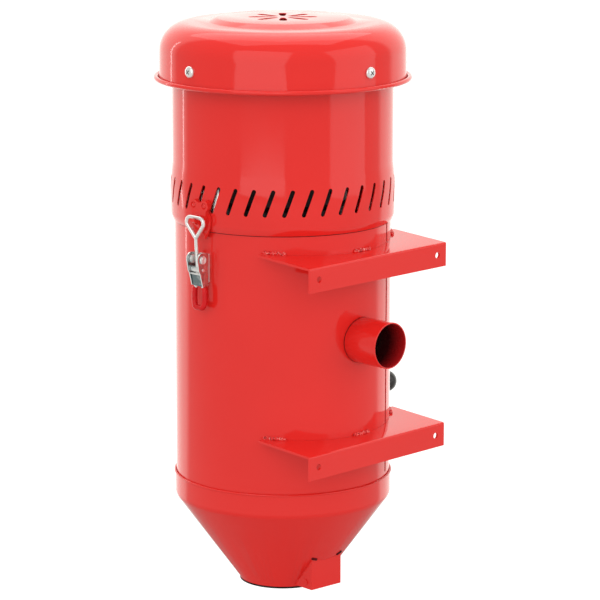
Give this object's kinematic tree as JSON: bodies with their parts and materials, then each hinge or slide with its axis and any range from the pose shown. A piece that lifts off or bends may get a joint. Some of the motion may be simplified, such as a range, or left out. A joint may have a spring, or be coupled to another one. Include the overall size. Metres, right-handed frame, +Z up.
{
  "type": "blast cabinet dust collector",
  "caption": "Sheet-steel dust collector: drum over a cone with an outlet flap, a slotted motor head held by toggle latches, a round side inlet and bolt-on brackets.",
  "frame": {"origin": "on the drum's axis, at the underside of the closed outlet flap", "axes": "+Z up along the drum's axis; -Y towards the cabinet, where the inlet and brackets point; +X on the side of the shaker knob"},
  "size_m": [0.325, 0.3035, 0.6389],
  "materials": {
    "red_paint": "gloss",
    "zinc": "bright zinc",
    "steel": "satin",
    "black_rubber": "matte",
    "black_plastic": "gloss",
    "red_vinyl": "gloss",
    "filter_paper": "matte",
    "copper": "varnished",
    "brass": "satin"
  },
  "bodies": {
    "collector": {"drum_shell": "red_paint", "hopper_cone": "red_paint", "inlet_pipe": "red_paint", "upper_bracket": "red_paint", "lower_bracket": "red_paint", "hinge_bracket": "red_paint", "hinge_pin": "red_paint", "head_shell": "red_paint", "top_cover": "red_paint", "cover_spacers": "red_paint", "cover_screws": "zinc", "head_gasket": "black_rubber", "motor_deck": "steel", "filter_top_plate": "steel", "filter_media": "filter_paper", "filter_bottom_cap": "steel", "filter_tie_rod": "zinc", "filter_wing_nut": "zinc", "motor_gasket": "black_rubber", "fan_housing": "steel", "motor_bracket": "steel", "field_coils": "copper", "field_core": "steel", "motor_bearings": "zinc", "brush_holders": "brass", "cable_gland": "black_plastic", "shaker_bush": "zinc", "left_latch_base": "zinc", "right_latch_base": "zinc", "latch_rivets": "red_paint", "left_keeper": "red_paint", "right_keeper": "red_paint", "left_pivots": "zinc", "right_pivots": "zinc"},
    "flap": {"flap_plate": "red_paint", "flap_seal": "black_rubber", "flap_rivet": "zinc", "flap_spring": "zinc"},
    "shaker": {"shaker_rod": "zinc", "shaker_knob": "black_plastic"},
    "rotor": {"armature": "steel", "commutator": "copper", "motor_shaft": "zinc", "suction_impeller": "steel", "cooling_fan": "black_plastic"},
    "left_latch": {"left_lever": "zinc", "left_grip": "red_vinyl"},
    "right_latch": {"right_lever": "zinc", "right_grip": "red_vinyl"},
    "left_bail_loop": {"left_barrel": "zinc", "left_bail": "zinc"},
    "right_bail_loop": {"right_barrel": "zinc", "right_bail": "zinc"}
  },
  "joints": [
    {"name": "flap_hinge", "type": "hinge", "parent": "collector", "child": "flap", "pos_m": [-0.00439, -0.06285, 0.0155], "axis": [-0.9976, 0.0698, 0], "range_deg": [0, 60], "stiffness_Nm_per_rad": 0.4, "springref_deg": -85.94},
    {"name": "shaker_slide", "type": "slide", "parent": "collector", "child": "shaker", "axis": [-1, 0, 0], "range_m": [0, 0.02]},
    {"name": "rotor_spin", "type": "hinge", "parent": "collector", "child": "rotor", "pos_m": [0, 0, 0.5], "axis": [0, 0, 1], "continuous": true},
    {"name": "left_latch_hinge", "type": "hinge", "parent": "collector", "child": "left_latch", "pos_m": [-0.1325, 0, 0.388], "axis": [0, 1, 0], "range_deg": [0, 75]},
    {"name": "right_latch_hinge", "type": "hinge", "parent": "collector", "child": "right_latch", "pos_m": [0.1325, 0, 0.388], "axis": [0, -1, 0], "range_deg": [0, 75]},
    {"name": "left_bail_hinge", "type": "hinge", "parent": "left_latch", "child": "left_bail_loop", "pos_m": [-0.1317, 0, 0.3768], "axis": [0, 1, 0], "range_deg": [-63, 0]},
    {"name": "right_bail_hinge", "type": "hinge", "parent": "right_latch", "child": "right_bail_loop", "pos_m": [0.1317, 0, 0.3768], "axis": [0, -1, 0], "range_deg": [-63, 0]}
  ],
  "couplings": [
    {"joint": "left_bail_hinge", "follows": "left_latch_hinge", "ratio": -0.84},
    {"joint": "right_bail_hinge", "follows": "right_latch_hinge", "ratio": -0.84}
  ]
}
